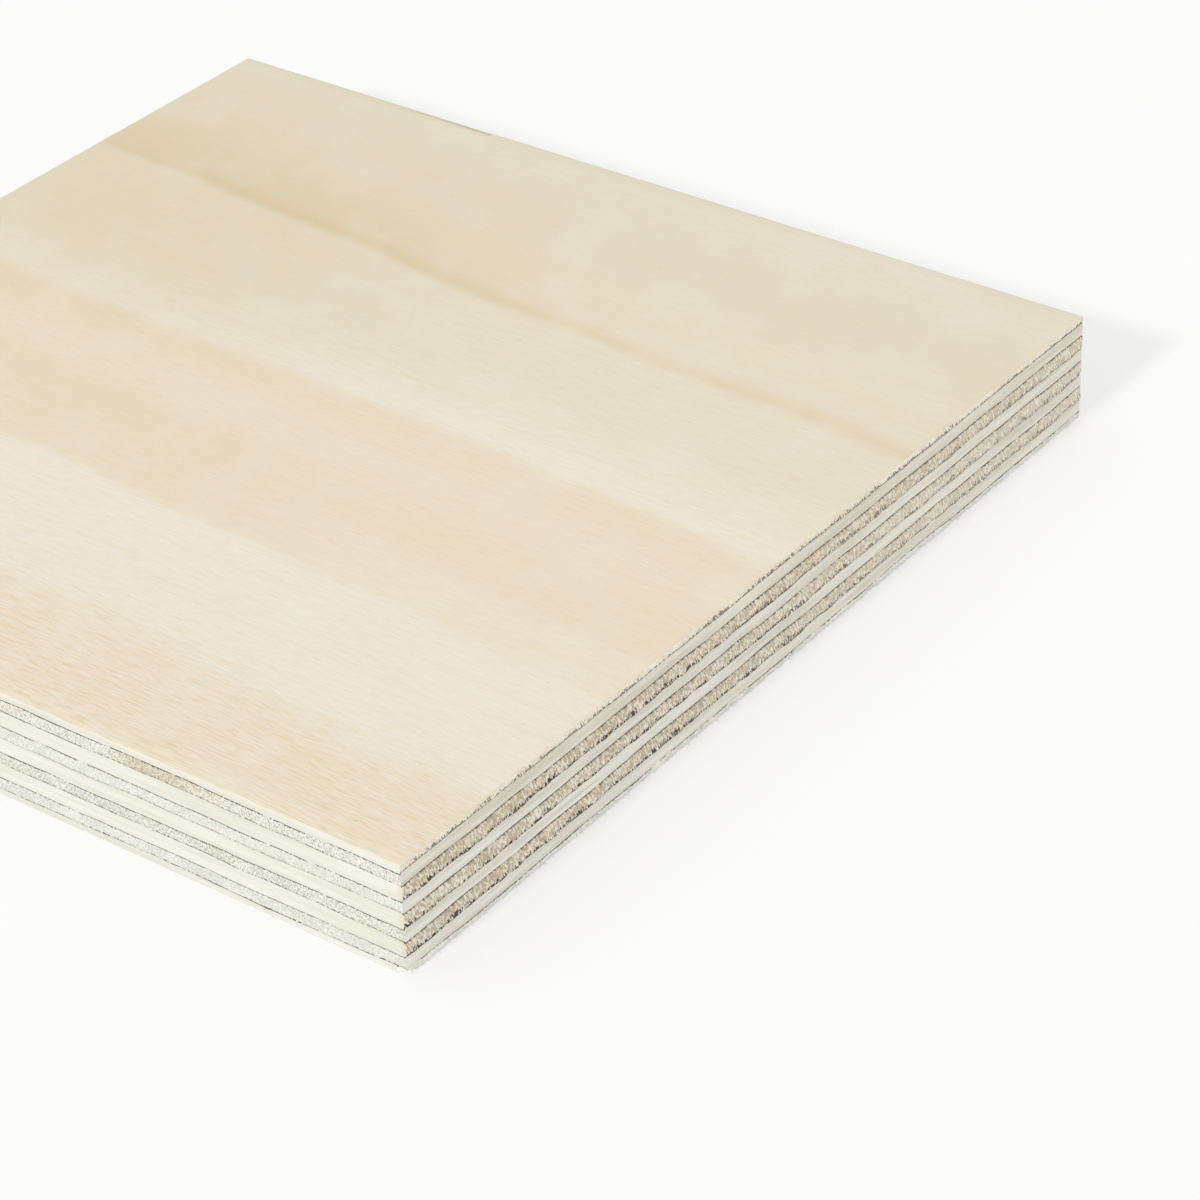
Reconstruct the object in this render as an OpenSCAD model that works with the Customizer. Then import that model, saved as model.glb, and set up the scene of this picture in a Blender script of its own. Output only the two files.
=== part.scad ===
// Plywood sheet: a square piece sawn from a board of cross-laminated plies.
// The grain of the face veneer, the core plies and the back veneer runs along X.
// The grain of the crossbands between them runs along Y.
// The sheet lies flat on its back veneer, with the origin under its centre.

/* [Sheet] */
// Length along the grain of the face veneer, in mm
sheet_l = 170; // [60:1:2500]
// Width across the grain of the face veneer, in mm
sheet_w = 170; // [60:1:1250]

/* [Plies] */
// Thickness of the sanded face veneer, in mm
face_t = 1.25; // [0.6:0.05:3]
// Thickness of each crossband, in mm
crossband_t = 2.05; // [1:0.05:4]
// Thickness of each core ply, in mm
core_t = 2.5; // [1:0.05:4]
// Thickness of the sanded back veneer, in mm
back_t = 1.05; // [0.6:0.05:3]
// Number of core plies, with a crossband on each side of every one
core_count = 3; // [1:1:6]

/* [Edges] */
// Easing along the outer edges of the face and back veneers, in mm
arris = 0.15; // [0.05:0.05:0.5]
// Length of the chip at the back veneer's near corner, along X, in mm
chip_l = 1.4; // [0.5:0.1:10]
// Width of the same chip, along Y, in mm
chip_w = 2.5; // [0.5:0.1:10]

/* [Hidden] */
crossband_count = core_count + 1;
// One crossband and the core ply on it, the step that repeats up the stack
pair_t = crossband_t + core_t;
sheet_t = back_t + core_count * pair_t + crossband_t + face_t;

// Height of the underside of crossband i, counted from 1 at the back
function crossband_z(i) = back_t + (i - 1) * pair_t;

// Height of the underside of core ply i, which lies on crossband i
function core_z(i) = crossband_z(i) + crossband_t;

// Section of a veneer whose two upper corners are eased
module eased_section(width, thickness) {
    polygon([
        [-width / 2, 0],
        [width / 2, 0],
        [width / 2, thickness - arris],
        [width / 2 - arris, thickness],
        [-width / 2 + arris, thickness],
        [-width / 2, thickness - arris]
    ]);
}

// Veneer with all four upper edges eased: the common part of its two sections
module eased_veneer(thickness) {
    intersection() {
        rotate([90, 0, 0])
            linear_extrude(height = sheet_w, center = true)
                eased_section(sheet_l, thickness);
        rotate([90, 0, 90])
            linear_extrude(height = sheet_l, center = true)
                eased_section(sheet_w, thickness);
    }
}

// Inner ply, sawn square on all four sides
module inner_ply(thickness) {
    linear_extrude(height = thickness)
        square([sheet_l, sheet_w], center = true);
}

// Three-cornered piece that is broken out of the corner at +X, -Y
module corner_chip(thickness) {
    translate([sheet_l / 2, -sheet_w / 2, -thickness])
        linear_extrude(height = 3 * thickness)
            polygon([[-2 * chip_l, -chip_w], [chip_l, 2 * chip_w], [chip_l, -chip_w]]);
}

// Bottom veneer, eased along its lower edges and chipped at one corner
module back_veneer() {
    color("antiquewhite")
        difference() {
            translate([0, 0, back_t])
                mirror([0, 0, 1])
                    eased_veneer(back_t);
            corner_chip(back_t);
        }
}

// Ply with its grain across the sheet
module crossband(i) {
    color("gainsboro")
        translate([0, 0, crossband_z(i)])
            inner_ply(crossband_t);
}

// Ply with its grain along the sheet
module core_ply(i) {
    color("cornsilk")
        translate([0, 0, core_z(i)])
            inner_ply(core_t);
}

// Top veneer, eased along its upper edges
module face_veneer() {
    color("wheat")
        translate([0, 0, sheet_t - face_t])
            eased_veneer(face_t);
}

back_veneer();
for (i = [1:crossband_count])
    crossband(i);
for (i = [1:core_count])
    core_ply(i);
face_veneer();
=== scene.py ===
import math

import bmesh
import bpy
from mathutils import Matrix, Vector


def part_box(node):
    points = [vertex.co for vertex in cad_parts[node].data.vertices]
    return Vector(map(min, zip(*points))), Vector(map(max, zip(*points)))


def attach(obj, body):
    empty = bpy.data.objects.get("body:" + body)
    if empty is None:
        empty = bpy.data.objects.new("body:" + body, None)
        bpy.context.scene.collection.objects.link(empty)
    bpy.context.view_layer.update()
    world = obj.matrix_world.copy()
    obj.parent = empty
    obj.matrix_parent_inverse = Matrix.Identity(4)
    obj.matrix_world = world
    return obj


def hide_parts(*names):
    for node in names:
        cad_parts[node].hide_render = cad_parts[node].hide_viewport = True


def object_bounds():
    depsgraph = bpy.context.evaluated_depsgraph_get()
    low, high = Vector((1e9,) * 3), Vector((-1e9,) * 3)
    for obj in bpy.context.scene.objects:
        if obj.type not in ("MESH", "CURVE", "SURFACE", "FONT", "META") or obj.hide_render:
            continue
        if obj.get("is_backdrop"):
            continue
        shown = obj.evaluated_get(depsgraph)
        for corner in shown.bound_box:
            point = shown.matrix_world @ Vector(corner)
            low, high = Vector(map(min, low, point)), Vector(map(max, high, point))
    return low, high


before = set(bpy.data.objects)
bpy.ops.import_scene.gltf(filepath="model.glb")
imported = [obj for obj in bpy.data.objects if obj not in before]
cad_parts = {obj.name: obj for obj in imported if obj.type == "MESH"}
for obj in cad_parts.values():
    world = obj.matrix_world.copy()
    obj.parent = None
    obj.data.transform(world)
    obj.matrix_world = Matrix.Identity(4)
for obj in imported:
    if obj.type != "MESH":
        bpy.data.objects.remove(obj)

cad_low, cad_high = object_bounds()


# Back veneer: the thin ply that the sheet lies on, with its grain along X.
# It is peeled from a pale hardwood log and glued on hot under a press.
# The saw came down through it last, so its ends are ragged and one corner broke off.
mm = 0.001
sheet = cad_high - cad_low
end_column = 0.15 * mm
long_column = 0.6 * mm
cap_ring = 3 * mm
grain_along_x = (1, 0, 0)
grain_along_y = (0, 1, 0)


def row_heights(low, high, rows):
    """Heights of a ply's rows of faces, closer together near its two glue lines."""
    crowding = 0.6
    steps = [row / rows for row in range(rows + 1)]
    return [low + (high - low) * (t - crowding * math.sin(math.tau * t) / math.tau) for t in steps]


def eased_rows(heights, ease, steps=3):
    """Rows as (height, inset) pairs, the last of them round an eased upper edge."""
    top = heights[-1]
    rows = [(height, 0.0) for height in heights if height < top - 1.2 * ease]
    for step in range(steps + 1):
        turn = math.pi / 2 * step / steps
        rows.append((top - ease + ease * math.sin(turn), ease - ease * math.cos(turn)))
    return rows


def select_edges(ply, wanted):
    """Select the edges of the mesh in edit mode for which wanted(start, end) is true."""
    bpy.ops.mesh.select_all(action="DESELECT")
    mesh = bmesh.from_edit_mesh(ply.data)
    for edge in mesh.edges:
        edge.select_set(wanted(edge.verts[0].co, edge.verts[1].co))
    bmesh.update_edit_mesh(ply.data)


def add_ply(name, length, width, rows, columns_x, columns_y):
    """Draw a ply's outline, raise its wall row by row and close both faces."""
    bpy.ops.object.select_all(action="DESELECT")
    bpy.ops.mesh.primitive_plane_add(size=1)
    ply = bpy.context.object
    ply.name = ply.data.name = name
    bpy.ops.object.mode_set(mode="EDIT")
    bpy.ops.mesh.select_mode(type="EDGE")
    bpy.ops.mesh.delete(type="ONLY_FACE")
    select_edges(ply, lambda start, end: abs(start.y - end.y) < 0.5)
    bpy.ops.mesh.subdivide(number_cuts=columns_x - 1)
    select_edges(ply, lambda start, end: abs(start.x - end.x) < 1e-6)
    bpy.ops.mesh.subdivide(number_cuts=columns_y - 1)
    bpy.ops.mesh.select_all(action="SELECT")
    height, inset = rows[0]
    bpy.ops.transform.resize(value=(length - 2 * inset, width - 2 * inset, 1))
    bpy.ops.transform.translate(value=(0, 0, height))

    def narrow(before, after):
        shrink_x = (length - 2 * after) / (length - 2 * before)
        shrink_y = (width - 2 * after) / (width - 2 * before)
        bpy.ops.transform.resize(value=(shrink_x, shrink_y, 1), center_override=(0, 0, 0))

    def off_level(point, level):
        return abs(point.z - level)

    for next_height, next_inset in rows[1:]:
        bpy.ops.mesh.extrude_region_move(TRANSFORM_OT_translate={"value": (0, 0, next_height - height)})
        narrow(inset, next_inset)
        height, inset = next_height, next_inset
    for level, rim_inset in (rows[-1], rows[0]):
        select_edges(ply, lambda start, end: max(off_level(start, level), off_level(end, level)) < 1e-7)
        bpy.ops.mesh.extrude_region_move()
        narrow(rim_inset, cap_ring)
        bpy.ops.mesh.edge_face_add()
    bpy.ops.mesh.select_all(action="SELECT")
    bpy.ops.mesh.normals_make_consistent(inside=False)
    bpy.ops.object.mode_set(mode="OBJECT")
    return ply


def lengthways_ply(name, rows):
    """A ply with its grain along X: fine columns on the two ends that face along X."""
    return add_ply(name, sheet.x, sheet.y, rows, round(sheet.x / long_column), round(sheet.y / end_column))


def move_points(ply, shift):
    """Move each point of a ply by what shift gives for its place."""
    bpy.ops.object.mode_set(mode="EDIT")
    mesh = bmesh.from_edit_mesh(ply.data)
    for point in mesh.verts:
        point.co += shift(point.co)
    bmesh.update_edit_mesh(ply.data)
    bpy.ops.object.mode_set(mode="OBJECT")


def add_node(tree, kind, inputs=(), **options):
    """Add a node with its options, and link or set its inputs by name or by place."""
    node = tree.nodes.new(kind)
    for option, value in options.items():
        setattr(node, option, value)
    for place, value in inputs.items() if isinstance(inputs, dict) else enumerate(inputs):
        if isinstance(value, bpy.types.NodeSocket):
            tree.links.new(value, node.inputs[place])
        else:
            node.inputs[place].default_value = value
    return node.outputs


def add_sockets(tree, side, kind, *names):
    for name in names:
        tree.interface.new_socket(name, in_out=side, socket_type=f"NodeSocket{kind}")


def calc(tree, operation, *values):
    return add_node(tree, "ShaderNodeMath", values, operation=operation)[0]


def times(tree, product, *others):
    for value in others:
        product = calc(tree, "MULTIPLY", product, value)
    return product


def vector_calc(tree, operation, *values):
    return add_node(tree, "ShaderNodeVectorMath", values, operation=operation)


def fade(tree, value, start, end, low=0.0, high=1.0):
    """Smooth step from low, where value is start, to high, where it is end."""
    places = {"Value": value, "From Min": start, "From Max": end, "To Min": low, "To Max": high}
    return add_node(tree, "ShaderNodeMapRange", places, interpolation_type="SMOOTHSTEP")[0]


def join_xyz(tree, x, y, z):
    return add_node(tree, "ShaderNodeCombineXYZ", (x, y, z))[0]


def split_xyz(tree, vector):
    return add_node(tree, "ShaderNodeSeparateXYZ", (vector,))


def noise(tree, place, detail=2.0, roughness=0.5):
    places = {"Vector": place, "Scale": 1.0, "Detail": detail, "Roughness": roughness}
    return add_node(tree, "ShaderNodeTexNoise", places)[0]


def sawn_edge_tools():
    """Geometry nodes that give a plain ply its sawn edges, in millimetres.

    The end grain swells, stands in tufts and is torn at its lower glue line.
    All glue lines wander a little, by the same amount for the plies on both sides of them.
    """
    tree = bpy.data.node_groups.new("Sawn edge", "GeometryNodeTree")
    add_sockets(tree, "INPUT", "Geometry", "Ply")
    add_sockets(tree, "INPUT", "Vector", "End Axis")
    add_sockets(tree, "INPUT", "Float", "Half Length", "Half Width", "Thickness", "Low", "High", "Seed")
    add_sockets(tree, "INPUT", "Float", "Proud", "Bristle", "Tear", "Fringe", "Upper Split", "Lean")
    add_sockets(tree, "OUTPUT", "Geometry", "Sawn Ply")
    given = add_node(tree, "NodeGroupInput")
    axis = given["End Axis"]
    position = add_node(tree, "GeometryNodeInputPosition")[0]
    place = vector_calc(tree, "DIVIDE", position, (mm, mm, mm))[0]
    x, y, z = split_xyz(tree, place)
    outward = vector_calc(tree, "DOT_PRODUCT", place, axis)["Value"]
    side = calc(tree, "SIGN", outward)
    across = vector_calc(tree, "SUBTRACT", (1, 1, 0), axis)[0]
    along = vector_calc(tree, "DOT_PRODUCT", place, across)["Value"]
    from_end = calc(tree, "SUBTRACT", given["Half Length"], calc(tree, "ABSOLUTE", outward))
    from_corner = calc(tree, "SUBTRACT", given["Half Width"], calc(tree, "ABSOLUTE", along))
    end = fade(tree, from_end, 1.2, 0.7)
    edge = calc(tree, "MAXIMUM", end, fade(tree, from_corner, 1.2, 0.7))
    from_low = calc(tree, "SUBTRACT", z, given["Low"])
    from_top = calc(tree, "SUBTRACT", given["High"], z)

    # Tufts of fibre, bent over the way the saw ran, and the stretches where it tore them
    start = calc(tree, "MULTIPLY_ADD", given["Seed"], 37.0, times(tree, side, 211.0))
    leaning = calc(tree, "MULTIPLY_ADD", from_top, given["Lean"], calc(tree, "ADD", along, start))

    def edge_noise(rate, rise, detail, roughness=0.6):
        spot = join_xyz(tree, times(tree, leaning, rate), times(tree, z, rise), rate)
        return noise(tree, spot, detail, roughness)

    tuft = edge_noise(2.6, 0.5, 2.0)
    tuft_range = {"Value": tuft, "From Min": 0.3, "From Max": 0.7, "To Min": -1.0}
    relief = add_node(tree, "ShaderNodeMapRange", tuft_range)[0]
    torn = fade(tree, edge_noise(0.2, 0.0, 3.0), 0.4, 0.6, 0.35, 1.0)
    tooth = fade(tree, edge_noise(1.9, 0.0, 2.0, 0.7), 0.38, 0.62, 0.1, 1.0)
    reach = times(tree, torn, tooth, given["Fringe"])
    gap_low = fade(tree, calc(tree, "SUBTRACT", from_low, reach), 0.12, 0.0)
    gap_low = times(tree, gap_low, fade(tree, edge_noise(0.8, 0.0, 3.0), 0.42, 0.52))
    gap_top = times(tree, fade(tree, from_top, 0.2, 0.06), given["Upper Split"])
    gap_top = times(tree, gap_top, fade(tree, edge_noise(0.17, 0.0, 2.0), 0.36, 0.56))
    gap = times(tree, calc(tree, "MAXIMUM", gap_low, gap_top), end)

    # How far the end grain moves out, and the glue lines up or down
    swell = times(tree, fade(tree, from_top, 0.0, 0.6), given["Proud"])
    swell = times(tree, swell, fade(tree, from_corner, 0.0, 3.0, 0.3, 1.0))
    push = calc(tree, "MULTIPLY_ADD", relief, given["Bristle"], swell)
    push = calc(tree, "SUBTRACT", push, times(tree, gap, given["Tear"]))
    push = times(tree, push, end, side)
    slow = [times(tree, part, rate) for part, rate in ((x, 0.075), (y, 0.075), (z, 0.21))]
    below_face = calc(tree, "SUBTRACT", given["Thickness"], z)
    inner = times(tree, fade(tree, z, 0.0, 1.0), fade(tree, below_face, 0.0, 1.0))
    wave = calc(tree, "SUBTRACT", noise(tree, join_xyz(tree, *slow)), 0.5)
    wave = times(tree, wave, inner, edge)
    outwards = vector_calc(tree, "MULTIPLY", axis, join_xyz(tree, push, push, 0.0))[0]
    move = vector_calc(tree, "ADD", outwards, join_xyz(tree, 0.0, 0.0, wave))[0]
    offset = vector_calc(tree, "MULTIPLY", move, (mm, mm, mm))[0]

    # What the finishes read: which faces are end grain or edge, and how far a glue line is
    normal = add_node(tree, "GeometryNodeInputNormal")[0]
    facing = calc(tree, "ABSOLUTE", vector_calc(tree, "DOT_PRODUCT", normal, axis)["Value"])
    upright = calc(tree, "ABSOLUTE", split_xyz(tree, normal)[2])
    kept = (
        ("end_grain", "FACE", calc(tree, "GREATER_THAN", facing, 0.5)),
        ("edge", "FACE", calc(tree, "LESS_THAN", upright, 0.5)),
        ("from_low", "POINT", from_low),
        ("from_top", "POINT", from_top),
        ("relief", "POINT", relief),
    )
    ply = given["Ply"]
    for name, domain, value in kept:
        places = {"Geometry": ply, "Name": name, "Value": value}
        ply = add_node(tree, "GeometryNodeStoreNamedAttribute", places, data_type="FLOAT", domain=domain)[0]
    ply = add_node(tree, "GeometryNodeSetPosition", {"Geometry": ply, "Offset": offset})[0]
    add_node(tree, "NodeGroupOutput", (ply,))
    return tree


sawn_edge = sawn_edge_tools()


def run_tools(piece, tools, values):
    """Run geometry nodes on a piece with these inputs, and keep the result as its mesh."""
    modifier = piece.modifiers.new(tools.name, "NODES")
    modifier.node_group = tools
    for name, value in values.items():
        modifier[tools.interface.items_tree[name].identifier] = value
    bpy.context.view_layer.objects.active = piece
    bpy.ops.object.modifier_apply(modifier=modifier.name)


def saw_edges(ply, low, high, end_axis, seed, cut):
    """Give a ply its sawn edges, with the sizes of the cut in millimetres."""
    half = sheet / 2 / mm
    lengthways = end_axis == grain_along_x
    values = {
        "End Axis": end_axis,
        "Half Length": half.x if lengthways else half.y,
        "Half Width": half.y if lengthways else half.x,
        "Thickness": cad_high.z / mm,
        "Low": low / mm,
        "High": high / mm,
        "Seed": float(seed),
    }
    run_tools(ply, sawn_edge, {**values, **cut})
    bpy.ops.object.select_all(action="DESELECT")
    ply.select_set(True)
    bpy.ops.object.shade_smooth_by_angle(angle=math.radians(50))


def shade(red, green, blue):
    """A colour as a paint chart gives it, 0 to 255, turned into the numbers that a shader takes."""
    linear = [((c / 255 + 0.055) / 1.055) ** 2.4 for c in (red, green, blue)]
    return (*linear, 1.0)


def mix(tree, amount, first, second, blend="MIX"):
    places = {0: amount, 6: first, 7: second}
    return add_node(tree, "ShaderNodeMix", places, data_type="RGBA", blend_type=blend)[2]


def mix_values(tree, amount, first, second):
    return add_node(tree, "ShaderNodeMix", (amount, first, second))[0]


def object_place(tree):
    return add_node(tree, "ShaderNodeTexCoord")["Object"]


def pattern(tree, place, size, detail=2.0, roughness=0.5, turn=(0, 0, 0)):
    """Noise whose spots are about size metres long along each axis, after a turn."""
    places = {"Vector": place, "Rotation": turn, "Scale": size}
    turned = add_node(tree, "ShaderNodeMapping", places, vector_type="TEXTURE")[0]
    return noise(tree, turned, detail, roughness)


def attribute(tree, name):
    return add_node(tree, "ShaderNodeAttribute", attribute_name=name)["Fac"]


def new_group(name, colours, values=()):
    """A shader node group that turns a place, colours and values into a colour and a height."""
    tree = bpy.data.node_groups.new(name, "ShaderNodeTree")
    add_sockets(tree, "INPUT", "Vector", "Place")
    add_sockets(tree, "INPUT", "Color", *colours)
    add_sockets(tree, "INPUT", "Float", *values)
    add_sockets(tree, "OUTPUT", "Color", "Color")
    add_sockets(tree, "OUTPUT", "Float", "Height")
    return tree, add_node(tree, "NodeGroupInput")


def long_grain_group():
    """Smooth long grain: fine fibre lines along X, over slow changes of tone."""
    tree, given = new_group("Long grain", ("Pale", "Deep"))
    place = given["Place"]
    fine = pattern(tree, place, (9 * mm, 0.16 * mm, 0.16 * mm), 3.0, 0.6)
    slow = pattern(tree, place, (28 * mm, 1.5 * mm, 1.1 * mm))
    tone = calc(tree, "ADD", fade(tree, fine, 0.35, 0.7, 0.0, 0.45), fade(tree, slow, 0.3, 0.7, 0.0, 0.55))
    colour = mix(tree, tone, given["Pale"], given["Deep"])
    add_node(tree, "NodeGroupOutput", (colour, fine))
    return tree


def end_grain_group():
    """Sawn end grain, for grain along X: pale fibre ends with painted highlights, darker pits with painted
    shade from the tufts' relief, and broken dark glue lines with painted shade in the torn slits under them.
    """
    colours = ("Pale", "Deep", "Bright", "Pore", "Tan", "Glue And Shade")
    shares = ("Tan Share", "Pore Share", "Upper Bright", "Relief Share", "Upper Line", "Lower Line")
    sizes = ("Speck Width", "Speck Height", "Lean", "Fringe", "Slit Width", "Slit Height")
    tree, given = new_group("End grain", colours, shares + sizes)
    place = given["Place"]
    fibre = 20 * mm
    speck_size = join_xyz(tree, fibre, given["Speck Width"], given["Speck Height"])
    lean = join_xyz(tree, given["Lean"], 0.0, 0.0)
    specks = pattern(tree, place, speck_size, 3.0, 0.65, lean)
    # The tufts' relief joins the specks' own tone, so Deep also falls in the valleys between the tufts as
    # painted shade
    height = calc(tree, "ADD", specks, times(tree, attribute(tree, "relief"), given["Relief Share"]))
    colour = mix(tree, fade(tree, height, 0.6, 0.4), given["Pale"], given["Deep"])
    drift = pattern(tree, place, (fibre, 14 * mm, 5 * mm), 1.0)
    tan = times(tree, fade(tree, drift, 0.36, 0.64), given["Tan Share"])
    colour = mix(tree, tan, colour, given["Tan"], "MULTIPLY")

    # Bright fibre ends, painted as highlights on the highest specks, fewer of them above the torn stretch,
    # and dark pores
    stretch = pattern(tree, place, (fibre, 6 * mm, 3 * mm), 3.0, 0.6)
    reach = times(tree, fade(tree, stretch, 0.38, 0.62, 0.45, 1.0), given["Fringe"])
    from_low = attribute(tree, "from_low")
    climb = calc(tree, "DIVIDE", from_low, reach)
    bright = fade(tree, climb, 2.2, 0.8, given["Upper Bright"], 1.0)
    bright = times(tree, bright, fade(tree, height, 0.57, 0.67, 0.0, 0.8))
    colour = mix(tree, bright, colour, given["Bright"])
    pores = pattern(tree, place, (fibre, 0.3 * mm, 0.3 * mm), 1.0)
    pores = times(tree, fade(tree, pores, 0.56, 0.7), given["Pore Share"])
    colour = mix(tree, pores, colour, given["Pore"])

    # Painted shade in the slits between the torn fibres above the lower glue line, taller in some stretches
    slit_size = join_xyz(tree, fibre, given["Slit Width"], given["Slit Height"])
    slits = pattern(tree, place, slit_size, 2.0, 0.6, lean)
    torn = fade(tree, calc(tree, "MULTIPLY_ADD", climb, -0.14, slits), 0.41, 0.47)
    torn = times(tree, torn, fade(tree, climb, 1.15, 0.85))

    # Stretches where the ply came away cleanly and left a plain dark line of glue, with painted shade in the
    # gap
    rough = calc(tree, "MULTIPLY_ADD", specks, 0.45, -0.22)
    clean = pattern(tree, place, (fibre, 11 * mm, 2 * mm), 1.0)
    split = fade(tree, calc(tree, "ADD", from_low, rough), 0.26, 0.14)
    split = times(tree, split, fade(tree, clean, 0.56, 0.6))
    lower = times(tree, calc(tree, "MAXIMUM", torn, split), given["Lower Line"])

    # A thinner and more even line of dark glue under the upper glue line
    below = calc(tree, "ADD", attribute(tree, "from_top"), rough)
    breaks = pattern(tree, place, (fibre, 4 * mm, 3 * mm), 5.0, 0.7)
    upper = times(tree, fade(tree, below, 0.26, 0.14), fade(tree, breaks, 0.38, 0.46), given["Upper Line"])
    # One dark colour for both lines: glue in the upper line, and glue with painted shade in the lower one
    colour = mix(tree, calc(tree, "MAXIMUM", lower, upper), colour, given["Glue And Shade"])
    add_node(tree, "NodeGroupOutput", (colour, height))
    return tree


long_grain = long_grain_group()
end_grain = end_grain_group()


def new_material(name):
    material = bpy.data.materials.new(name)
    material.use_nodes = True
    material.node_tree.nodes.clear()
    return material


def edge_finish(tree, end_axis, long_colours, end_values):
    """Colour and height of a ply: long grain on two edges, end grain on the other two."""
    turn = (0, 0, 0) if end_axis == grain_along_x else (0, 0, math.pi / 2)
    turned = add_node(tree, "ShaderNodeMapping", {"Vector": object_place(tree), "Rotation": turn})[0]
    long = add_node(tree, "ShaderNodeGroup", {"Place": turned, **long_colours}, node_tree=long_grain)
    end = add_node(tree, "ShaderNodeGroup", {"Place": turned, **end_values}, node_tree=end_grain)
    on_end = attribute(tree, "end_grain")
    colour = mix(tree, on_end, long["Color"], end["Color"])
    return colour, mix_values(tree, on_end, long["Height"], end["Height"])


def finish_wood(tree, colour, height, bump, roughness):
    """Close a wood finish: dull bare wood whose height gives a fine bump."""
    normal = add_node(tree, "ShaderNodeBump", {"Height": height, "Strength": bump, "Distance": 0.1 * mm})[0]
    places = {"Base Color": colour, "Roughness": roughness, "Specular IOR Level": 0.25, "Normal": normal}
    surface = add_node(tree, "ShaderNodeBsdfPrincipled", places)[0]
    add_node(tree, "ShaderNodeOutputMaterial", (surface,))


def fit_ply(piece, node, material):
    piece.data.materials.clear()
    piece.data.materials.append(material)
    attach(piece, "root")
    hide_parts(node)


low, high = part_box("back_veneer")
back_ease = 0.08 * mm
upside_down = eased_rows(row_heights(-high.z, -low.z, rows=6), back_ease)
back_rows = [(-height, inset) for height, inset in reversed(upside_down)]
back_veneer = lengthways_ply("sawn_back_veneer", back_rows)
chip_along_x = 1.4 * mm
chip_along_y = 2.5 * mm
chip_start = Vector((cad_high.x - chip_along_x, cad_low.y, 0))
chip_facing = Vector((chip_along_y, -chip_along_x, 0)).normalized()


def chip_off(place):
    """The way back to the face of the chip, for a point in the corner that broke off."""
    outside = (place - chip_start).dot(chip_facing)
    return -max(outside, 0.0) * chip_facing


move_points(back_veneer, chip_off)
back_cut = {"Proud": 0.1, "Bristle": 0.14, "Tear": 0.15, "Fringe": 0.2, "Upper Split": 1.0, "Lean": 0.25}
saw_edges(back_veneer, low.z, high.z, grain_along_x, seed=1, cut=back_cut)
back_wood = new_material("back veneer wood")
tree = back_wood.node_tree
edge_colour, edge_height = edge_finish(
    tree,
    grain_along_x,
    {"Pale": shade(230, 231, 222), "Deep": shade(212, 210, 195)},
    {
        "Pale": shade(252, 252, 244),
        "Deep": shade(243, 242, 233),
        "Bright": shade(254, 254, 248),
        "Pore": shade(150, 142, 122),
        "Tan": shade(240, 236, 222),
        "Glue And Shade": shade(92, 88, 74),
        "Tan Share": 0.2,
        "Pore Share": 0.12,
        "Upper Bright": 1.0,
        "Relief Share": 0.12,
        "Speck Width": 0.2 * mm,
        "Speck Height": 0.6 * mm,
        "Lean": 0.25,
        "Fringe": 0.3,
        "Slit Width": 0.3 * mm,
        "Slit Height": 0.6 * mm,
        "Upper Line": 0.9,
        "Lower Line": 0.2,
    },
)

# Its underside is sanded like the show face, and has broad soft bands and a few tan streaks
place = object_place(tree)
back_turn = (0, 0, 0.04)
bands = pattern(tree, place, (110 * mm, 15 * mm, 1), 2.0, 0.5, back_turn)
streaks = pattern(tree, place, (60 * mm, 2.2 * mm, 1), 3.0, 0.6, back_turn)
fibres = pattern(tree, place, (4 * mm, 0.2 * mm, 1), 2.0, 0.6, back_turn)
underside = mix(tree, fade(tree, bands, 0.36, 0.64), shade(238, 231, 214), shade(232, 220, 196))
underside = mix(tree, fade(tree, streaks, 0.5, 0.75, 0.0, 0.4), underside, shade(226, 207, 172))
underside = mix(tree, fade(tree, fibres, 0.46, 0.68, 0.0, 0.4), underside, shade(222, 203, 166))
on_edge = attribute(tree, "edge")
colour = mix(tree, on_edge, underside, edge_colour)
height = mix_values(tree, on_edge, fibres, edge_height)
finish_wood(tree, colour, height, bump=0.2, roughness=0.7)
fit_ply(back_veneer, "back_veneer", back_wood)


# Crossbands: the plies with their grain across the sheet, glued between the others.
# The saw leaves them smooth on the ends of the sheet and sandy along its long edges,
# where it cut across their fibres. The top one has a brown stretch of heartwood.
crossband_cut = {"Proud": 0.05, "Bristle": 0.05, "Tear": 0.12, "Fringe": 0.2, "Upper Split": 1.0, "Lean": 0.0}
top_crossband = 4


def crossband_look(pale, deep, tan_share, pore_share, upper_line, lower_line):
    return {
        "Pale": shade(*pale),
        "Deep": shade(*deep),
        "Tan Share": tan_share,
        "Pore Share": pore_share,
        "Upper Line": upper_line,
        "Lower Line": lower_line,
    }


crossband_looks = {
    1: crossband_look((228, 229, 221), (202, 203, 195), 0.1, 0.2, 0.6, 0.9),
    2: crossband_look((229, 229, 220), (197, 197, 185), 0.1, 0.6, 0.8, 0.8),
    3: crossband_look((228, 229, 220), (206, 207, 197), 0.1, 0.1, 0.75, 0.45),
    top_crossband: crossband_look((232, 232, 221), (205, 203, 190), 0.2, 0.6, 0.85, 0.7),
}


def inner_long_grain(tree):
    """Long grain of the crossbands under the top one, a little duller towards the back."""
    duller = fade(tree, split_xyz(tree, object_place(tree))[1], -20 * mm, 60 * mm)
    return {
        "Pale": mix(tree, duller, shade(247, 246, 236), shade(243, 241, 228)),
        "Deep": mix(tree, duller, shade(214, 210, 194), shade(210, 205, 187)),
    }


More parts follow.
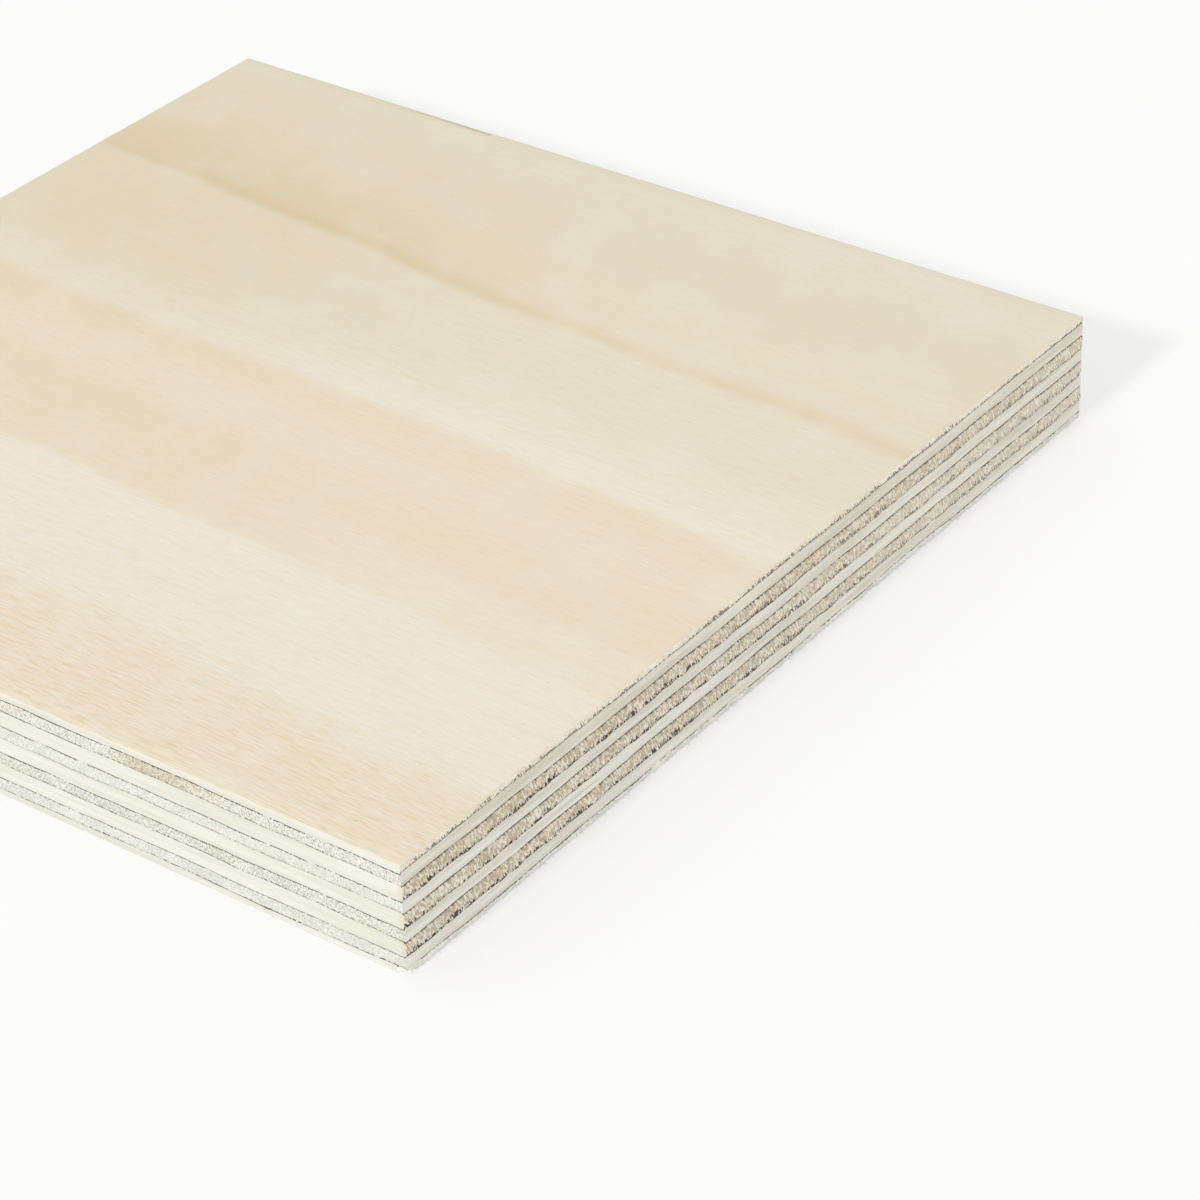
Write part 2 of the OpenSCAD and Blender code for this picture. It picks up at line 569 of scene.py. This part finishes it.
def add_heartwood(tree, colour, height):
    """Darken one stretch of the sandy edge to brown, with long dark pores."""
    place = object_place(tree)
    along = split_xyz(tree, place)[0]
    heart = times(tree, fade(tree, along, 34 * mm, 40 * mm), fade(tree, along, 58 * mm, 42 * mm))
    heart = times(tree, heart, attribute(tree, "end_grain"))
    tone = mix(tree, fade(tree, height, 0.6, 0.4), shade(251, 246, 239), shade(240, 229, 215))
    colour = mix(tree, heart, colour, tone, "MULTIPLY")
    pores = pattern(tree, place, (0.3 * mm, 20 * mm, 0.4 * mm))
    pores = fade(tree, pores, 0.53, 0.68, 0.0, 0.5)
    return mix(tree, times(tree, heart, pores), colour, shade(150, 110, 80))


for number, look in crossband_looks.items():
    low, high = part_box(f"crossband_{number}")
    rows = [(height, 0.0) for height in row_heights(low.z, high.z, rows=10)]
    columns_x, columns_y = round(sheet.x / end_column), round(sheet.y / long_column)
    crossband = add_ply(f"sawn_crossband_{number}", sheet.x, sheet.y, rows, columns_x, columns_y)
    saw_edges(crossband, low.z, high.z, grain_along_y, seed=10 + number, cut=crossband_cut)
    wood = new_material(f"crossband {number} wood")
    tree = wood.node_tree
    if number == top_crossband:
        long_colours = {"Pale": shade(241, 237, 222), "Deep": shade(210, 203, 183)}
    else:
        long_colours = inner_long_grain(tree)
    colour, height = edge_finish(
        tree,
        grain_along_y,
        long_colours,
        {
            "Bright": shade(236, 236, 228),
            "Pore": shade(150, 138, 118),
            "Tan": shade(240, 228, 208),
            "Glue And Shade": shade(74, 70, 62),
            "Upper Bright": 1.0,
            "Relief Share": 0.06,
            "Speck Width": 0.3 * mm,
            "Speck Height": 0.28 * mm,
            "Lean": 0.0,
            "Fringe": 0.34,
            "Slit Width": 0.42 * mm,
            "Slit Height": 0.35 * mm,
            **look,
        },
    )
    if number == top_crossband:
        colour = add_heartwood(tree, colour, height)
    finish_wood(tree, colour, height, bump=0.3, roughness=0.7)
    fit_ply(crossband, f"crossband_{number}", wood)


# Core plies: the thick plies between the crossbands, with their grain along the sheet.
# On the ends of the sheet the saw combed their fibres down into tan tufts that stand proud,
# and left dark splits under them. Along the long edges they are smooth and cream.
core_cut = {"Proud": 0.24, "Bristle": 0.07, "Tear": 0.2, "Fringe": 0.6, "Upper Split": 1.0, "Lean": 0.3}
core_tan_shares = {1: 0.1, 2: 0.0, 3: 0.5}
core_far_tones = {1: shade(210, 202, 184), 2: shade(210, 202, 184), 3: shade(200, 191, 170)}
rim_width = 1.2 * mm
for number, tan_share in core_tan_shares.items():
    low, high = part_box(f"core_ply_{number}")
    rows = [(height, 0.0) for height in row_heights(low.z, high.z, rows=12)]
    core_ply = lengthways_ply(f"sawn_core_ply_{number}", rows)
    saw_edges(core_ply, low.z, high.z, grain_along_x, seed=20 + number, cut=core_cut)
    wood = new_material(f"core ply {number} wood")
    tree = wood.node_tree
    along, across, _ = split_xyz(tree, object_place(tree))
    less_torn = fade(tree, across, -40 * mm, 60 * mm)
    colour, height = edge_finish(
        tree,
        grain_along_x,
        {"Pale": shade(229, 229, 220), "Deep": shade(214, 211, 195)},
        {
            "Pale": shade(240, 231, 211),
            "Deep": mix(tree, less_torn, shade(190, 178, 154), core_far_tones[number]),
            "Bright": shade(252, 252, 248),
            "Pore": shade(120, 104, 84),
            "Tan": shade(246, 234, 220),
            "Glue And Shade": shade(58, 48, 42),
            "Tan Share": tan_share,
            "Pore Share": 0.3,
            "Upper Bright": 0.35,
            "Relief Share": 0.06,
            "Speck Width": 0.3 * mm,
            "Speck Height": 0.8 * mm,
            "Lean": 0.35,
            "Fringe": 1.15,
            "Slit Width": 0.34 * mm,
            "Slit Height": 0.9 * mm,
            "Upper Line": 0.75,
            "Lower Line": fade(tree, less_torn, 0.0, 1.0, 0.95, 0.6),
        },
    )
    rim = fade(tree, calc(tree, "ABSOLUTE", along), sheet.x / 2 - rim_width, sheet.x / 2, 0.0, 0.5)
    rim = times(tree, rim, calc(tree, "SUBTRACT", 1.0, attribute(tree, "end_grain")))
    colour = mix(tree, rim, colour, shade(250, 232, 200), "MULTIPLY")
    finish_wood(tree, colour, height, bump=0.4, roughness=0.75)
    fit_ply(core_ply, f"core_ply_{number}", wood)


# Face veneer: the sanded show face, with its grain along X.
# It is peeled thin, so its growth shows as broad soft bands, a long tan streak
# and fine fibre lines, all running nearly along X.
low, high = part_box("face_veneer")
face_ease = 0.2 * mm
face_rows = eased_rows(row_heights(low.z, high.z, rows=7), face_ease)
face_veneer = lengthways_ply("sawn_face_veneer", face_rows)
torn_from = -56 * mm
torn_to = -31 * mm
torn_depth = 0.15 * mm
torn_width = 1 * mm


def torn_down(place):
    """How far the far upper edge is torn down, more and more along one stretch."""
    on_far_edge = place.y > cad_high.y - torn_width and place.z > high.z - face_ease
    if not on_far_edge or not torn_from < place.x < torn_to:
        return Vector()
    return Vector((0, 0, -torn_depth * (place.x - torn_from) / (torn_to - torn_from)))


move_points(face_veneer, torn_down)
face_cut = {"Proud": 0.05, "Bristle": 0.06, "Tear": 0.2, "Fringe": 0.4, "Upper Split": 0.0, "Lean": 0.4}
saw_edges(face_veneer, low.z, high.z, grain_along_x, seed=30, cut=face_cut)
face_wood = new_material("face veneer wood")
tree = face_wood.node_tree
edge_colour, edge_height = edge_finish(
    tree,
    grain_along_x,
    {"Pale": shade(229, 229, 219), "Deep": shade(211, 208, 192)},
    {
        "Pale": shade(249, 244, 228),
        "Deep": shade(236, 224, 199),
        "Bright": shade(253, 250, 239),
        "Pore": shade(150, 130, 100),
        "Tan": shade(248, 238, 220),
        "Glue And Shade": shade(80, 70, 60),
        "Tan Share": 0.2,
        "Pore Share": 0.2,
        "Upper Bright": 1.0,
        "Relief Share": 0.1,
        "Speck Width": 0.22 * mm,
        "Speck Height": 0.6 * mm,
        "Lean": 0.4,
        "Fringe": 0.85,
        "Slit Width": 0.3 * mm,
        "Slit Height": 0.8 * mm,
        "Upper Line": 0.0,
        "Lower Line": 0.78,
    },
)
place = object_place(tree)
along, across, _ = split_xyz(tree, place)
wander = calc(tree, "SUBTRACT", pattern(tree, place, (55 * mm, 24 * mm, 1)), 0.5)

# Broad bands, by their distance across the sheet, drifting as the growth rings do
pale, warm = shade(238, 231, 214), shade(236, 226, 205)
soft, tan = shade(235, 224, 202), shade(233, 221, 197)
# The far bands' colours are also painted a little darker, as shade where the light falls off towards the back
far_pale, far_warm, far_dull = shade(233, 226, 205), shade(231, 222, 199), shade(231, 223, 202)
far_tan, far_edge = shade(227, 217, 194), shade(229, 221, 200)
band_reach = 100 * mm
bands = (
    (-88, warm), (-80, warm), (-66, warm), (-60, pale), (-38, pale), (-35, warm), (-27, warm),
    (-22, tan), (-17, tan), (-8, soft), (1, tan), (5, pale), (16, far_pale), (21, far_dull),
    (27, far_dull), (38, far_dull), (48, far_warm), (64, far_tan), (80, far_edge),
)
band_wander = 7 * mm
band_drift = fade(tree, across, -30 * mm, 0.0, 0.055, 0.036)
band_place = calc(tree, "MULTIPLY_ADD", along, band_drift, across)
band_place = calc(tree, "MULTIPLY_ADD", wander, band_wander, band_place)
band_range = {"Value": band_place, "From Min": -band_reach, "From Max": band_reach}
band_share = add_node(tree, "ShaderNodeMapRange", band_range)[0]
colour = add_node(tree, "ShaderNodeValToRGB", (band_share,))[0]
ramp = colour.node.color_ramp
ramp.interpolation = "EASE"
while len(ramp.elements) < len(bands):
    ramp.elements.new(1.0)
for stop, (distance, band) in zip(ramp.elements, bands):
    stop.position = 0.5 + distance * mm / (2 * band_reach)
    stop.color = band

# The long streak: sharp on its near side, with a tan field behind it that thins out along X
streak_middle, streak_slope, streak_fall = 41.9 * mm, -0.05, 3.6 * mm
streak_wander, streak_ripple = 3 * mm, 2.5 * mm
streak = calc(tree, "MULTIPLY_ADD", along, streak_slope, streak_middle)
streak = calc(tree, "SUBTRACT", streak, fade(tree, along, -75 * mm, 40 * mm, 0.0, streak_fall))
past_streak = calc(tree, "SUBTRACT", across, streak)
past_streak = calc(tree, "MULTIPLY_ADD", wander, streak_wander, past_streak)
ripple = calc(tree, "SUBTRACT", pattern(tree, place, (16 * mm, 6 * mm, 1)), 0.5)
past_streak = calc(tree, "MULTIPLY_ADD", ripple, streak_ripple, past_streak)
near_side = fade(tree, past_streak, -2 * mm, 1.6 * mm)
field = times(tree, near_side, fade(tree, past_streak, 24 * mm, 2 * mm))
field = times(tree, field, fade(tree, along, 40 * mm, -50 * mm, 0.12, 0.85))
colour = mix(tree, field, colour, shade(220, 205, 174))
line = times(tree, near_side, fade(tree, past_streak, 4.5 * mm, 0.2 * mm))
line = times(tree, line, fade(tree, along, 30 * mm, -35 * mm, 0.42, 0.6))
line = times(tree, line, fade(tree, along, -85 * mm, -45 * mm, 0.3, 1.0))
colour = mix(tree, line, colour, shade(216, 194, 150))

# The far part is painted a little darker, as shade where the light falls off towards it, and the stretch in
# front of the streak is painted duller in the same way
far_painted_shade = fade(tree, along, 50 * mm, -80 * mm, 0.0, 0.4)
far_painted_shade = times(tree, far_painted_shade, fade(tree, across, -10 * mm, 20 * mm))
colour = mix(tree, far_painted_shade, colour, shade(250, 246, 238), "MULTIPLY")
dull = times(tree, fade(tree, along, 30 * mm, -50 * mm), fade(tree, across, -14 * mm, 6 * mm))
dull = times(tree, dull, fade(tree, past_streak, 2 * mm, -2 * mm), 0.7)
colour = mix(tree, dull, colour, shade(248, 245, 239), "MULTIPLY")

# The tan band between the pale ones deepens away from the near end
deeper = times(tree, fade(tree, along, 35 * mm, 0.0), fade(tree, band_place, -38 * mm, -34 * mm))
deeper = times(tree, deeper, fade(tree, band_place, -12 * mm, -18 * mm), 0.8)
colour = mix(tree, deeper, colour, shade(230, 217, 192))

# Fibre lines of three lengths, faint cloudy figure, and short brown flecks
long_lines = pattern(tree, place, (45 * mm, 1.6 * mm, 1), 3.0, 0.6)
lines = pattern(tree, place, (12 * mm, 0.45 * mm, 1), 2.0, 0.6, (0, 0, -0.03))
fibres = pattern(tree, place, (3.6 * mm, 0.18 * mm, 1), 2.0, 0.6, (0, 0, -0.02))
cloud = pattern(tree, place, (12 * mm, 16 * mm, 1), 2.0, 0.5, (0, 0, 0.4))
flecks = pattern(tree, place, (3 * mm, 0.5 * mm, 1), 1.0, 0.6, (0, 0, -0.02))
near_edge = fade(tree, band_place, -56 * mm, -72 * mm, 0.12, 0.36)
open_grain = fade(tree, band_place, -52 * mm, -74 * mm, 0.5, 1.25)
colour = mix(tree, fade(tree, long_lines, 0.45, 0.75, 0.0, 0.22), colour, shade(226, 208, 174))
near_lines = times(tree, fade(tree, lines, 0.48, 0.66), near_edge)
colour = mix(tree, near_lines, colour, shade(230, 209, 168))
dark_fibres = times(tree, fade(tree, fibres, 0.46, 0.68, 0.0, 0.62), open_grain)
colour = mix(tree, dark_fibres, colour, shade(222, 203, 166))
pale_fibres = times(tree, fade(tree, fibres, 0.48, 0.32, 0.0, 0.14), open_grain)
colour = mix(tree, pale_fibres, colour, shade(250, 246, 236))
colour = mix(tree, fade(tree, cloud, 0.55, 0.3, 0.0, 0.18), colour, shade(240, 236, 222))
brown_flecks = times(tree, fade(tree, flecks, 0.65, 0.75, 0.0, 0.45), open_grain)
colour = mix(tree, brown_flecks, colour, shade(232, 194, 132))

# The torn stretch along the far edge, darkest at its right-hand end
torn = fade(tree, along, torn_from, torn_to - 2 * mm)
torn = times(tree, torn, fade(tree, along, torn_to + 1 * mm, torn_to))
torn = times(tree, torn, fade(tree, across, cad_high.y - 1.2 * mm, cad_high.y - 0.5 * mm), 0.5)
colour = mix(tree, torn, colour, shade(168, 152, 118))

on_edge = attribute(tree, "edge")
colour = mix(tree, on_edge, colour, edge_colour)
height = mix_values(tree, on_edge, fibres, edge_height)
finish_wood(tree, colour, height, bump=0.15, roughness=0.6)
fit_ply(face_veneer, "face_veneer", face_wood)


# Torn fibres: slivers of the lengthways plies that the saw pulled out and left hanging
# over the glue line under each ply, along both ends of the sheet. Those of the back
# veneer stick out over the floor.
def fringe_tools():
    """Geometry nodes that set copies of one sliver along both ends of the sheet, in metres."""
    tree = bpy.data.node_groups.new("Torn fringe", "GeometryNodeTree")
    add_sockets(tree, "INPUT", "Geometry", "Sliver")
    add_sockets(tree, "INPUT", "Float", "Half Length", "Half Width", "Height", "Spread")
    add_sockets(tree, "INPUT", "Float", "Shortest", "Longest", "Least Turn", "Most Turn")
    add_sockets(tree, "INPUT", "Int", "Count", "Seed")
    add_sockets(tree, "OUTPUT", "Geometry", "Fringe")
    given = add_node(tree, "NodeGroupInput")
    half_length, half_width, level = given["Half Length"], given["Half Width"], given["Height"]

    def chance(least, most, draw):
        seed = calc(tree, "MULTIPLY_ADD", given["Seed"], 10.0, float(draw))
        places = {2: least, 3: most, "Seed": seed}
        return add_node(tree, "FunctionNodeRandomValue", places, data_type="FLOAT")[1]

    start = join_xyz(tree, half_length, times(tree, half_width, -1.0), level)
    end = join_xyz(tree, half_length, half_width, level)
    line_places = {"Count": given["Count"], "Start Location": start, "Offset": end}
    line = add_node(tree, "GeometryNodeMeshLine", line_places, mode="END_POINTS")[0]
    outward = chance(-0.1 * mm, 0.12 * mm, 1)
    sideways = chance(-0.3 * mm, 0.3 * mm, 2)
    upward = chance(0.0, given["Spread"], 3)
    shift = join_xyz(tree, outward, sideways, upward)
    points = add_node(tree, "GeometryNodeSetPosition", {"Geometry": line, "Offset": shift})[0]
    angles = join_xyz(tree, 0.0, chance(given["Least Turn"], given["Most Turn"], 4), chance(-0.6, 0.6, 5))
    turn = add_node(tree, "FunctionNodeEulerToRotation", (angles,))[0]
    thickness = chance(0.6, 1.5, 6)
    size = join_xyz(tree, thickness, thickness, chance(given["Shortest"], given["Longest"], 7))
    places = {"Points": points, "Instance": given["Sliver"], "Rotation": turn, "Scale": size}
    slivers = add_node(tree, "GeometryNodeInstanceOnPoints", places)[0]
    slivers = add_node(tree, "GeometryNodeRealizeInstances", (slivers,))[0]
    half_turn = {"Geometry": slivers, "Rotation": (0, 0, math.pi)}
    other_end = add_node(tree, "GeometryNodeTransform", half_turn)[0]
    both = add_node(tree, "GeometryNodeJoinGeometry")[0]
    for slivers_of_end in (slivers, other_end):
        tree.links.new(slivers_of_end, both.node.inputs[0])
    add_node(tree, "NodeGroupOutput", (both,))
    return tree


fringe = fringe_tools()
sliver_root, sliver_tip = 0.055 * mm, 0.012 * mm
sliver_length, sliver_bend = 1 * mm, 0.05 * mm
clear_of_corner = 0.4 * mm


def add_fringe(name, material, values):
    """One tapered, bent sliver, repeated along the lower side of a ply's two ends."""
    bpy.ops.object.select_all(action="DESELECT")
    middle = (0, 0, sliver_length / 2)
    bpy.ops.mesh.primitive_cone_add(
        vertices=4, radius1=sliver_root, radius2=sliver_tip, depth=sliver_length, location=middle
    )
    piece = bpy.context.object
    piece.name = piece.data.name = name
    bpy.ops.object.transform_apply(location=True)
    bpy.ops.object.mode_set(mode="EDIT")
    bpy.ops.mesh.select_all(action="SELECT")
    bpy.ops.mesh.bisect(plane_co=middle, plane_no=(0, 0, 1))
    bpy.ops.transform.translate(value=(sliver_bend, 0, 0))
    bpy.ops.object.mode_set(mode="OBJECT")
    reach = {"Half Length": sheet.x / 2, "Half Width": sheet.y / 2 - clear_of_corner}
    run_tools(piece, fringe, {**reach, **values})
    piece.data.materials.append(material)
    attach(piece, "root")


def fibre_finish(name, pale, deep):
    material = new_material(name)
    tree = material.node_tree
    tone = pattern(tree, object_place(tree), (0.5 * mm, 0.5 * mm, 1 * mm), 2.0, 0.6)
    colour = mix(tree, fade(tree, tone, 0.35, 0.65), pale, deep)
    finish_wood(tree, colour, tone, bump=0.2, roughness=0.75)
    return material


core_fibre = fibre_finish("core fibre", shade(248, 242, 226), shade(206, 188, 158))
for number in core_tan_shares:
    low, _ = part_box(f"core_ply_{number}")
    core_fringe = {
        "Height": low.z + 0.1 * mm,
        "Spread": 0.5 * mm,
        "Shortest": 0.3,
        "Longest": 0.8,
        "Least Turn": 2.4,
        "Most Turn": 3.1,
        "Count": 460,
        "Seed": 40 + number,
    }
    add_fringe(f"torn_fibres_core_ply_{number}", core_fibre, core_fringe)
face_fibre = fibre_finish("face fibre", shade(252, 246, 228), shade(232, 216, 184))
low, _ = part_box("face_veneer")
face_fringe = {
    "Height": low.z + 0.05 * mm,
    "Spread": 0.3 * mm,
    "Shortest": 0.3,
    "Longest": 0.6,
    "Least Turn": 2.3,
    "Most Turn": 3.0,
    "Count": 260,
    "Seed": 44,
}
add_fringe("torn_fibres_face_veneer", face_fibre, face_fringe)
back_fibre = fibre_finish("back fibre", shade(250, 248, 238), shade(224, 220, 204))
back_fringe = {
    "Height": 0.2 * mm,
    "Spread": 0.6 * mm,
    "Shortest": 0.25,
    "Longest": 0.85,
    "Least Turn": 1.3,
    "Most Turn": 1.72,
    "Count": 800,
    "Seed": 45,
}
add_fringe("torn_fibres_back_veneer", back_fibre, back_fringe)


# Floor: a plain white table top that runs out of the picture on every side.
# It is not part of the sheet, and takes its soft shadow.
floor_size = 6.0
floor_colour = (0.98, 0.98, 0.975, 1)
floor_glow = 0.42


def seen_directly(tree):
    """1 for what the camera sees, also in a mirror or through glass, and 0 for what only lights."""
    rays = add_node(tree, "ShaderNodeLightPath")
    seen = calc(tree, "MAXIMUM", rays["Is Camera Ray"], rays["Is Glossy Ray"])
    return calc(tree, "MAXIMUM", seen, rays["Is Transmission Ray"])


bpy.ops.object.select_all(action="DESELECT")
bpy.ops.mesh.primitive_plane_add(size=floor_size)
floor = bpy.context.object
floor.name = "floor"
floor_white = new_material("floor white")
tree = floor_white.node_tree
matt = {"Base Color": floor_colour, "Roughness": 0.9, "Specular IOR Level": 0.0}
surface = add_node(tree, "ShaderNodeBsdfPrincipled", matt)[0]
glow = add_node(tree, "ShaderNodeEmission", {"Color": floor_colour, "Strength": 1.0})[0]
glow_share = times(tree, seen_directly(tree), floor_glow)
lit = add_node(tree, "ShaderNodeMixShader", (glow_share, surface, glow))[0]
add_node(tree, "ShaderNodeOutputMaterial", (lit,))
floor.data.materials.append(floor_white)
floor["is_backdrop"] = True


# Light: an even white room, and one lamp from the front left with a slightly soft shadow.
# It lights the long edge and leaves the right-hand end in light shade.
room_light = {"Color": (1, 1, 1, 1), "Strength": 0.81}
room_wall = {"Color": (0.96, 0.96, 0.955, 1), "Strength": 1.0}
lamp_from = Vector((-0.04, -1.0, 0.6)).normalized()
lamp_strength = 1.1
lamp_softness = math.radians(6)
world = bpy.data.worlds.new("white room")
bpy.context.scene.world = world
world.use_nodes = True
tree = world.node_tree
tree.nodes.clear()
lights = add_node(tree, "ShaderNodeBackground", room_light)[0]
shows = add_node(tree, "ShaderNodeBackground", room_wall)[0]
sky = add_node(tree, "ShaderNodeMixShader", (seen_directly(tree), lights, shows))[0]
add_node(tree, "ShaderNodeOutputWorld", (sky,))
bpy.ops.object.select_all(action="DESELECT")
bpy.ops.object.light_add(type="SUN", location=lamp_from)
lamp = bpy.context.object
lamp.name = "soft lamp"
lamp.rotation_euler = lamp_from.to_track_quat("Z", "Y").to_euler()
lamp.data.energy = lamp_strength
lamp.data.angle = lamp_softness


# Camera: a long lens that looks down over the near corner, about 0.6 m from the sheet's middle.
# Its place, turn and focal length were fitted to the corners of the sheet in the photo.
camera_place = (0.3506, -0.3902, 0.3223)
camera_turn = (56.699, 1.639, 36.196)
bpy.ops.object.camera_add(location=camera_place)
camera = bpy.context.object
camera.rotation_euler = [math.radians(turn) for turn in camera_turn]
camera.data.sensor_width = 36
camera.data.lens = 119.43
bpy.context.scene.camera = camera
bpy.context.scene.view_settings.view_transform = "Standard"

low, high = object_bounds()
